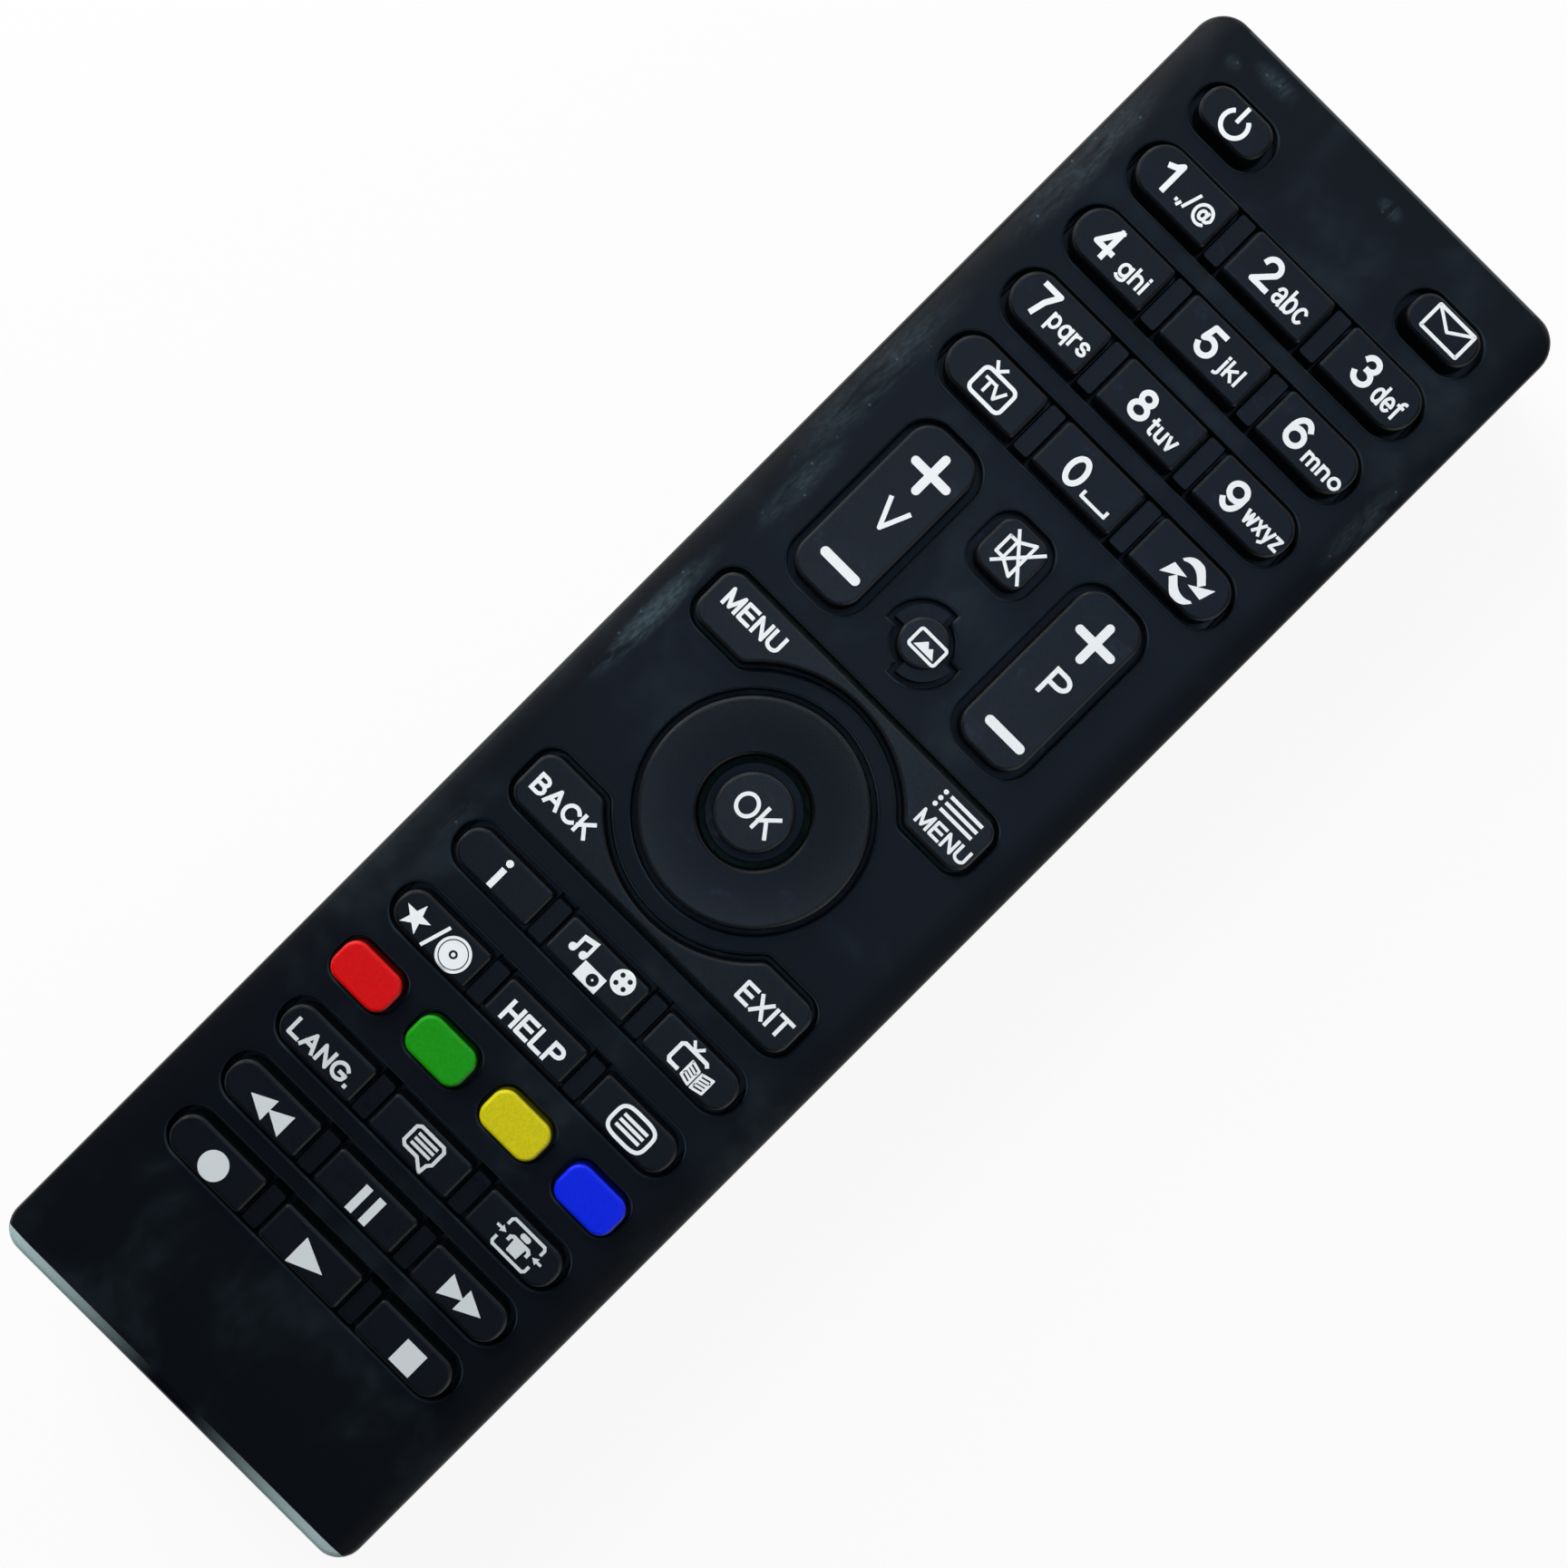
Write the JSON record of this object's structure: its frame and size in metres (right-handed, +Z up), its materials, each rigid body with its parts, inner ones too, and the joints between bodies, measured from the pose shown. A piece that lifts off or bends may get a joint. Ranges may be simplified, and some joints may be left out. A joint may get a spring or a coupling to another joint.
{
  "type": "tv box remote control",
  "caption": "Slim black infrared remote control with rubber keys in rows, two rockers, a tilting navigation ring and a sliding battery cover under its tail.",
  "frame": {"origin": "under the middle of the case, on the surface it lies on", "axes": "+X to the right across the face, +Y along the case towards the lamp in its head, +Z up through the keys"},
  "size_m": [0.0518, 0.1854, 0.0212],
  "materials": {
    "case_plastic": "satin black, fine moulded grain",
    "key_rubber": "matt silicone rubber",
    "red_rubber": "matt silicone rubber",
    "green_rubber": "matt silicone rubber",
    "yellow_rubber": "matt silicone rubber",
    "blue_rubber": "matt silicone rubber",
    "board_laminate": "brown paper laminate, printed carbon on top",
    "lamp_epoxy": "clear bluish epoxy",
    "window_plastic": "near-black plastic that passes infrared",
    "cell_jacket": "plain printed jacket, bare steel at both ends",
    "plated_steel": "nickel plated spring steel",
    "chip_epoxy": "matt black epoxy",
    "resonator_ceramic": "glossy resin over ceramic",
    "capacitor_sleeve": "shrunk plastic sleeve"
  },
  "bodies": {
    "root": {"top_case": "case_plastic", "bottom_case": "case_plastic", "keypad_membrane": "key_rubber", "circuit_board": "board_laminate", "ir_lamp": "lamp_epoxy", "ir_window": "window_plastic", "battery_1": "cell_jacket", "battery_2": "cell_jacket", "bridge_contact": "plated_steel", "positive_contact": "plated_steel", "negative_contact": "plated_steel", "contact_springs": "plated_steel", "control_chip": "chip_epoxy", "resonator": "resonator_ceramic", "capacitor": "capacitor_sleeve", "resistors": "chip_epoxy"},
    "battery_cover": {"battery_cover": "case_plastic"},
    "key_power": {"key_power": "key_rubber"},
    "key_message": {"key_message": "key_rubber"},
    "key_tv": {"key_tv": "key_rubber"},
    "key_0": {"key_0": "key_rubber"},
    "key_swap": {"key_swap": "key_rubber"},
    "key_7": {"key_7": "key_rubber"},
    "key_8": {"key_8": "key_rubber"},
    "key_9": {"key_9": "key_rubber"},
    "key_4": {"key_4": "key_rubber"},
    "key_5": {"key_5": "key_rubber"},
    "key_6": {"key_6": "key_rubber"},
    "key_1": {"key_1": "key_rubber"},
    "key_2": {"key_2": "key_rubber"},
    "key_3": {"key_3": "key_rubber"},
    "key_mute": {"key_mute": "key_rubber"},
    "key_picture": {"key_picture": "key_rubber"},
    "key_ok": {"key_ok": "key_rubber"},
    "key_info": {"key_info": "key_rubber"},
    "key_media": {"key_media": "key_rubber"},
    "key_guide": {"key_guide": "key_rubber"},
    "key_favourites": {"key_favourites": "key_rubber"},
    "key_help": {"key_help": "key_rubber"},
    "key_text": {"key_text": "key_rubber"},
    "key_language": {"key_language": "key_rubber"},
    "key_subtitle": {"key_subtitle": "key_rubber"},
    "key_size": {"key_size": "key_rubber"},
    "key_rewind": {"key_rewind": "key_rubber"},
    "key_pause": {"key_pause": "key_rubber"},
    "key_forward": {"key_forward": "key_rubber"},
    "key_record": {"key_record": "key_rubber"},
    "key_play": {"key_play": "key_rubber"},
    "key_stop": {"key_stop": "key_rubber"},
    "key_red": {"key_red": "red_rubber"},
    "key_green": {"key_green": "green_rubber"},
    "key_yellow": {"key_yellow": "yellow_rubber"},
    "key_blue": {"key_blue": "blue_rubber"},
    "volume_rocker": {"volume_rocker": "key_rubber"},
    "programme_rocker": {"programme_rocker": "key_rubber"},
    "menu_bar": {"menu_bar": "key_rubber"},
    "back_bar": {"back_bar": "key_rubber"},
    "nav_ring_web": {"nav_ring_web": "key_rubber"},
    "nav_ring": {"nav_ring": "key_rubber"}
  },
  "joints": [
    {"name": "cover_slide", "type": "slide", "parent": "root", "child": "battery_cover", "axis": [0, -1, 0], "range_m": [0, 0.056]},
    {"name": "key_power_press", "type": "slide", "parent": "root", "child": "key_power", "axis": [0, 0, -1], "range_m": [0, 0.0008], "stiffness_N_per_m": 250},
    {"name": "key_message_press", "type": "slide", "parent": "root", "child": "key_message", "axis": [0, 0, -1], "range_m": [0, 0.0008], "stiffness_N_per_m": 250},
    {"name": "key_tv_press", "type": "slide", "parent": "root", "child": "key_tv", "axis": [0, 0, -1], "range_m": [0, 0.0008], "stiffness_N_per_m": 250},
    {"name": "key_0_press", "type": "slide", "parent": "root", "child": "key_0", "axis": [0, 0, -1], "range_m": [0, 0.0008], "stiffness_N_per_m": 250},
    {"name": "key_swap_press", "type": "slide", "parent": "root", "child": "key_swap", "axis": [0, 0, -1], "range_m": [0, 0.0008], "stiffness_N_per_m": 250},
    {"name": "key_7_press", "type": "slide", "parent": "root", "child": "key_7", "axis": [0, 0, -1], "range_m": [0, 0.0008], "stiffness_N_per_m": 250},
    {"name": "key_8_press", "type": "slide", "parent": "root", "child": "key_8", "axis": [0, 0, -1], "range_m": [0, 0.0008], "stiffness_N_per_m": 250},
    {"name": "key_9_press", "type": "slide", "parent": "root", "child": "key_9", "axis": [0, 0, -1], "range_m": [0, 0.0008], "stiffness_N_per_m": 250},
    {"name": "key_4_press", "type": "slide", "parent": "root", "child": "key_4", "axis": [0, 0, -1], "range_m": [0, 0.0008], "stiffness_N_per_m": 250},
    {"name": "key_5_press", "type": "slide", "parent": "root", "child": "key_5", "axis": [0, 0, -1], "range_m": [0, 0.0008], "stiffness_N_per_m": 250},
    {"name": "key_6_press", "type": "slide", "parent": "root", "child": "key_6", "axis": [0, 0, -1], "range_m": [0, 0.0008], "stiffness_N_per_m": 250},
    {"name": "key_1_press", "type": "slide", "parent": "root", "child": "key_1", "axis": [0, 0, -1], "range_m": [0, 0.0008], "stiffness_N_per_m": 250},
    {"name": "key_2_press", "type": "slide", "parent": "root", "child": "key_2", "axis": [0, 0, -1], "range_m": [0, 0.0008], "stiffness_N_per_m": 250},
    {"name": "key_3_press", "type": "slide", "parent": "root", "child": "key_3", "axis": [0, 0, -1], "range_m": [0, 0.0008], "stiffness_N_per_m": 250},
    {"name": "key_mute_press", "type": "slide", "parent": "root", "child": "key_mute", "axis": [0, 0, -1], "range_m": [0, 0.0008], "stiffness_N_per_m": 250},
    {"name": "key_picture_press", "type": "slide", "parent": "root", "child": "key_picture", "axis": [0, 0, -1], "range_m": [0, 0.0008], "stiffness_N_per_m": 250},
    {"name": "key_ok_press", "type": "slide", "parent": "root", "child": "key_ok", "axis": [0, 0, -1], "range_m": [0, 0.0008], "stiffness_N_per_m": 250},
    {"name": "key_info_press", "type": "slide", "parent": "root", "child": "key_info", "axis": [0, 0, -1], "range_m": [0, 0.0008], "stiffness_N_per_m": 250},
    {"name": "key_media_press", "type": "slide", "parent": "root", "child": "key_media", "axis": [0, 0, -1], "range_m": [0, 0.0008], "stiffness_N_per_m": 250},
    {"name": "key_guide_press", "type": "slide", "parent": "root", "child": "key_guide", "axis": [0, 0, -1], "range_m": [0, 0.0008], "stiffness_N_per_m": 250},
    {"name": "key_favourites_press", "type": "slide", "parent": "root", "child": "key_favourites", "axis": [0, 0, -1], "range_m": [0, 0.0008], "stiffness_N_per_m": 250},
    {"name": "key_help_press", "type": "slide", "parent": "root", "child": "key_help", "axis": [0, 0, -1], "range_m": [0, 0.0008], "stiffness_N_per_m": 250},
    {"name": "key_text_press", "type": "slide", "parent": "root", "child": "key_text", "axis": [0, 0, -1], "range_m": [0, 0.0008], "stiffness_N_per_m": 250},
    {"name": "key_language_press", "type": "slide", "parent": "root", "child": "key_language", "axis": [0, 0, -1], "range_m": [0, 0.0008], "stiffness_N_per_m": 250},
    {"name": "key_subtitle_press", "type": "slide", "parent": "root", "child": "key_subtitle", "axis": [0, 0, -1], "range_m": [0, 0.0008], "stiffness_N_per_m": 250},
    {"name": "key_size_press", "type": "slide", "parent": "root", "child": "key_size", "axis": [0, 0, -1], "range_m": [0, 0.0008], "stiffness_N_per_m": 250},
    {"name": "key_rewind_press", "type": "slide", "parent": "root", "child": "key_rewind", "axis": [0, 0, -1], "range_m": [0, 0.0008], "stiffness_N_per_m": 250},
    {"name": "key_pause_press", "type": "slide", "parent": "root", "child": "key_pause", "axis": [0, 0, -1], "range_m": [0, 0.0008], "stiffness_N_per_m": 250},
    {"name": "key_forward_press", "type": "slide", "parent": "root", "child": "key_forward", "axis": [0, 0, -1], "range_m": [0, 0.0008], "stiffness_N_per_m": 250},
    {"name": "key_record_press", "type": "slide", "parent": "root", "child": "key_record", "axis": [0, 0, -1], "range_m": [0, 0.0008], "stiffness_N_per_m": 250},
    {"name": "key_play_press", "type": "slide", "parent": "root", "child": "key_play", "axis": [0, 0, -1], "range_m": [0, 0.0008], "stiffness_N_per_m": 250},
    {"name": "key_stop_press", "type": "slide", "parent": "root", "child": "key_stop", "axis": [0, 0, -1], "range_m": [0, 0.0008], "stiffness_N_per_m": 250},
    {"name": "key_red_press", "type": "slide", "parent": "root", "child": "key_red", "axis": [0, 0, -1], "range_m": [0, 0.0008], "stiffness_N_per_m": 250},
    {"name": "key_green_press", "type": "slide", "parent": "root", "child": "key_green", "axis": [0, 0, -1], "range_m": [0, 0.0008], "stiffness_N_per_m": 250},
    {"name": "key_yellow_press", "type": "slide", "parent": "root", "child": "key_yellow", "axis": [0, 0, -1], "range_m": [0, 0.0008], "stiffness_N_per_m": 250},
    {"name": "key_blue_press", "type": "slide", "parent": "root", "child": "key_blue", "axis": [0, 0, -1], "range_m": [0, 0.0008], "stiffness_N_per_m": 250},
    {"name": "volume_rocker_tilt", "type": "hinge", "parent": "root", "child": "volume_rocker", "pos_m": [-0.0124, 0.0281, 0.0164], "axis": [1, 0, 0], "range_deg": [-3.5, 3.5], "stiffness_Nm_per_rad": 0.05},
    {"name": "programme_rocker_tilt", "type": "hinge", "parent": "root", "child": "programme_rocker", "pos_m": [0.0124, 0.0281, 0.0164], "axis": [1, 0, 0], "range_deg": [-3.5, 3.5], "stiffness_Nm_per_rad": 0.05},
    {"name": "menu_bar_tilt", "type": "hinge", "parent": "root", "child": "menu_bar", "pos_m": [0, 0.00963, 0.0164], "axis": [0, 1, 0], "range_deg": [-2, 2], "stiffness_Nm_per_rad": 0.1},
    {"name": "back_bar_tilt", "type": "hinge", "parent": "root", "child": "back_bar", "pos_m": [0, -0.01773, 0.0164], "axis": [0, 1, 0], "range_deg": [-2, 2], "stiffness_Nm_per_rad": 0.1},
    {"name": "nav_ring_tilt_along", "type": "hinge", "parent": "root", "child": "nav_ring_web", "pos_m": [0, -0.00405, 0.0164], "axis": [1, 0, 0], "range_deg": [-3.2, 3.2], "stiffness_Nm_per_rad": 0.1},
    {"name": "nav_ring_tilt_across", "type": "hinge", "parent": "nav_ring_web", "child": "nav_ring", "pos_m": [0, -0.00405, 0.0164], "axis": [0, 1, 0], "range_deg": [-3.2, 3.2], "stiffness_Nm_per_rad": 0.1}
  ]
}
